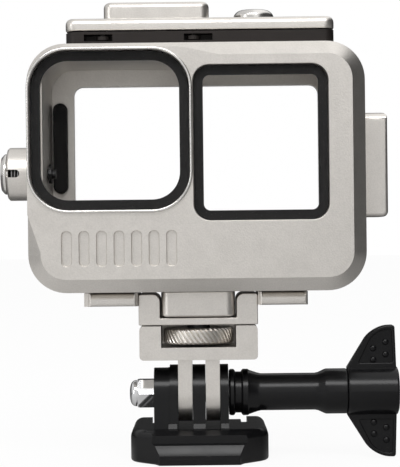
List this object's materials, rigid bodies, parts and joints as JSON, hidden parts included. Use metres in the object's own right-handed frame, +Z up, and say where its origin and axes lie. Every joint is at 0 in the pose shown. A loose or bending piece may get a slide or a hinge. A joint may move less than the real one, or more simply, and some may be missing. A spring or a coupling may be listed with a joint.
{
  "type": "underwater camera housing",
  "caption": "Metal dive housing with lens and screen windows, hinged rear door, sliding latch and sprung buttons, on a tilting three-prong mount with thumb screw and buckle.",
  "frame": {"origin": "middle of the buckle's underside, below the tilt axis", "axes": "+Z up, the windows face -Y, the hinge side is +X"},
  "size_m": [0.1057, 0.047, 0.1216],
  "materials": {
    "anodised": "satin blasted champagne silver",
    "bright_metal": "fine turned, bright",
    "dark_metal": "dark satin",
    "black_plastic": "glossy moulded",
    "rubber": "matte",
    "chrome": "polished",
    "steel": "turned",
    "glass": "clear, polished"
  },
  "bodies": {
    "buckle": {"buckle_base": "black_plastic", "dome_nut": "chrome"},
    "thumb_screw": {"screw_shaft": "steel", "screw_sleeve": "black_plastic", "wing_knob": "black_plastic"},
    "housing": {"front_shell": "anodised", "lens_bezel": "bright_metal", "lens_glass": "glass", "lens_mask_ring": "rubber", "screen_glass": "glass", "screen_mask_frame": "rubber", "door_seal": "rubber", "hinge_block": "anodised", "hinge_pin": "steel", "hinge_screw_1": "steel", "hinge_screw_2": "steel", "top_spacer": "dark_metal", "top_plate": "anodised", "pocket_screw_left": "dark_metal", "pocket_screw_right": "dark_metal", "shutter_ring": "rubber", "shutter_spring": "steel", "side_barrel": "anodised", "side_ring": "rubber", "side_spring": "steel", "rail_left": "anodised", "rail_right": "anodised", "rail_screw_left": "steel", "rail_screw_right": "steel", "tripod_boss": "anodised", "saddle_bracket": "anodised", "fork_block": "anodised", "fork_screw_left": "steel", "fork_screw_right": "steel"},
    "wheel": {"knurled_wheel": "anodised", "mount_stud": "steel"},
    "door": {"door_frame": "anodised", "door_glass": "glass", "door_gasket": "rubber", "door_pad": "rubber"},
    "latch": {"latch_slider": "anodised", "latch_key": "steel"},
    "shutter_button": {"shutter_cap": "bright_metal", "shutter_stem": "steel", "shutter_clip": "steel"},
    "side_button": {"side_cap": "bright_metal", "side_stem": "steel", "side_clip": "steel"}
  },
  "joints": [
    {"name": "mount_tilt", "type": "hinge", "parent": "buckle", "child": "housing", "pos_m": [0, 0, 0.0179], "axis": [1, 0, 0], "range_deg": [-75, 75]},
    {"name": "thumb_screw_spin", "type": "hinge", "parent": "buckle", "child": "thumb_screw", "pos_m": [0, 0, 0.0179], "axis": [1, 0, 0], "continuous": true},
    {"name": "wheel_spin", "type": "hinge", "parent": "housing", "child": "wheel", "pos_m": [0, 0, 0.033], "axis": [0, 0, 1], "continuous": true},
    {"name": "door_swing", "type": "hinge", "parent": "housing", "child": "door", "pos_m": [0.04805, 0.0187, 0.08], "axis": [0, 0, -1], "range_deg": [0, 170]},
    {"name": "latch_slide", "type": "slide", "parent": "housing", "child": "latch", "axis": [-1, 0, 0], "range_m": [0, 0.007]},
    {"name": "shutter_press", "type": "slide", "parent": "housing", "child": "shutter_button", "axis": [0, 0, -1], "range_m": [0, 0.0015], "stiffness_N_per_m": 800, "springref_m": -0.001, "deforming": ["shutter_spring"]},
    {"name": "side_press", "type": "slide", "parent": "housing", "child": "side_button", "axis": [1, 0, 0], "range_m": [0, 0.0015], "stiffness_N_per_m": 800, "springref_m": -0.001, "deforming": ["side_spring"]}
  ]
}
